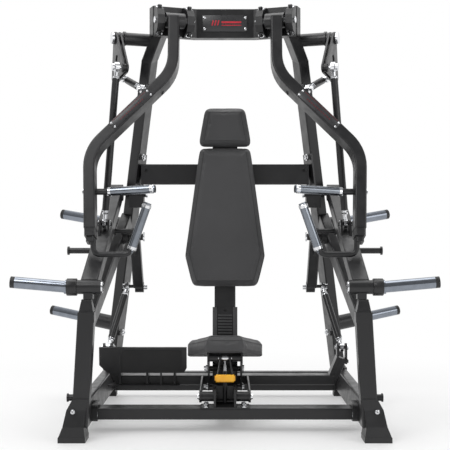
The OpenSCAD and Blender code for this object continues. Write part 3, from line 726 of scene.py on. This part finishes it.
for s_name, s in SIDES:
    body = "press_arm_" + s_name
    a = math.radians(46)
    ux, uy = -math.sin(a), -math.cos(a)

    def on_slope(t, w, d, s=s, ux=ux, uy=uy):
        return plane_point(-419 + ux * t - uy * w, -454 + uy * t + ux * w, d, s)

    def slope_matrix(t, w, d, s=s):
        o = on_slope(t, w, d)
        x = (on_slope(t + 1, w, d) - o).normalized()
        z = (on_slope(t, w, d + 1) - o).normalized()
        y = z.cross(x)
        return Matrix.Translation(o) @ Matrix((x, y, z)).transposed().to_4x4()

    def arm_label(bm):
        rounded_box(bm, (0.236, 0.038, 0.003), slope_matrix(0, 0, 51), 0.0012)

    def arm_screws(bm):
        for t in (-109, 109):
            for w in (-12, 12):
                p = on_slope(t, w, 52)
                dome_bolt(bm, p, (on_slope(t, w, 53) - p).normalized(), 0.0042, 0.0022)

    def arm_marks(bm):
        rounded_box(bm, (0.200, 0.0022, 0.0012), slope_matrix(0, -15.5, 52.6), 0.0004, 1)
        for k in range(12):
            rounded_box(bm, (0.007, 0.006, 0.0010), slope_matrix(-66 + k * 12, 3, 52.6), 0.0004, 1)

    piece("arm_label_" + s_name, PLATE, body, arm_label)
    piece("arm_screws_" + s_name, CHROME, body, arm_screws)
    piece("arm_marks_" + s_name, DIM_MARK, body, arm_marks)

    def grip_caps(bm, s=s):
        cap = [(0, 0.0175), (0, 0.0205), (0.012, 0.0205), (0.0165, 0.0175), (0.018, 0.010), (0.018, 0)]
        for ends in (UPPER_GRIP, LOOP_GRIP):
            a0, a1 = (mirror(Vector(e) / 1000, s) for e in ends)
            d = (a1 - a0).normalized()
            for p, q in ((a0, -d), (a1, d)):
                lathe(bm, p - q * 0.014, q, cap)

    piece("grip_caps_" + s_name, CHROME, body, grip_caps, 30)

    # clamp bolts, base flange bolts and upright bolts
    def frame_bolts(bm, s=s):
        f = (arm_point(0, 1, 0, s) - arm_point(0, 0, 0, s)).normalized()
        for u in (72, -72):
            for z in (-1, 1):
                n = (f + Vector((0, 0, 1.9 * z))).normalized()
                p = arm_point(u, -6, 61 * z, s)
                hex_bolt(bm, p, n, 0.0105, 0.009)
        for y in (-376, -296):
            hex_bolt(bm, mirror(Vector((-560.5, y, 77)) / 1000, s), (s, 0, 0), 0.0118, 0.0105)
        for y in (-374, -306):
            hex_bolt(bm, mirror(Vector((-84, y, 109)) / 1000, s), (0, 0, 1), 0.0108, 0.0105)
        n = Vector((math.cos(math.radians(16)) * s, -math.sin(math.radians(16)), 0))
        hex_bolt(bm, mirror(Vector((-531, 424, 352)) / 1000, s), n, 0.012, 0.010)
        hex_bolt(bm, mirror(Vector((-402, 150, 1243)) / 1000, s), n, 0.012, 0.010)
        hex_bolt(bm, mirror(Vector((-411, 182, 1110)) / 1000, s), n, 0.010, 0.008)
        dome_bolt(bm, mirror(Vector((-637, -593.5, 128)) / 1000, s), (0, -0.99, 0.12), 0.0085, 0.004)

    piece("frame_bolts_" + s_name, CHROME, "frame", frame_bolts)

    # jam nuts beside every rod end
    def nuts(name, body, p, q, fr):
        p, q = mirror(Vector(p) / 1000, s), mirror(Vector(q) / 1000, s)

        def build(bm):
            for u, d in ((fr, 1), (1 - fr, -1)):
                c = p.lerp(q, u)
                n = (q - p).normalized() * d
                hex_solid(bm, c, frame_of(n), 0.0145, ((0, 0.92), (0.0012, 1), (0.008, 1), (0.0092, 0.92)))

        piece(f"{name}_{s_name}", CHROME, body + "_" + s_name, build)

    ea, eb = arm_point(*LINK_EYE) * 1000, arm_point(*ARM_STUD) * 1000
    rod_top = arm_point(*ROD_STUD) * 1000
    nuts("short_link_nuts", "short_link", ea, eb, 0.175)
    nuts("long_rod_nuts", "long_rod", rod_top, ROD_EYE, 0.058)
    nuts("pedal_link_nuts", "pedal_link", PEDAL_EYE, ROCKER_EYE, 0.105)

    # dark sleeves of the rods
    def sleeve(name, body, p, q, lo, hi, s=s):
        p, q = mirror(Vector(p) / 1000, s), mirror(Vector(q) / 1000, s)
        a0, b0 = p.lerp(q, lo), p.lerp(q, hi)
        ln = (b0 - a0).length
        prof = [(0, 0), (0, 0.0135), (0.0025, 0.0164), (ln - 0.0025, 0.0164), (ln, 0.0135), (ln, 0)]
        piece(f"{name}_{s_name}", PAINT, body + "_" + s_name,
              lambda bm: lathe(bm, a0, (b0 - a0).normalized(), prof, 40))

    sleeve("short_link_sleeve", "short_link", ea, eb, 0.22, 0.78)
    sleeve("long_rod_sleeve", "long_rod", rod_top, ROD_EYE, 0.07, 0.92)
    sleeve("pedal_link_sleeve", "pedal_link", PEDAL_EYE, ROCKER_EYE, 0.14, 0.86)

    def collar(bm, s=s):
        lathe(bm, mirror(Vector((-627, HUB_Y, HUB_Z)) / 1000, s), (-s, 0, 0),
              [(0, 0.02), (0, 0.0355), (0.002, 0.0368), (0.040, 0.0368), (0.043, 0.034), (0.043, 0.02)], 48)

    piece("load_collar_" + s_name, PAINT, "weight_arm_" + s_name, collar)
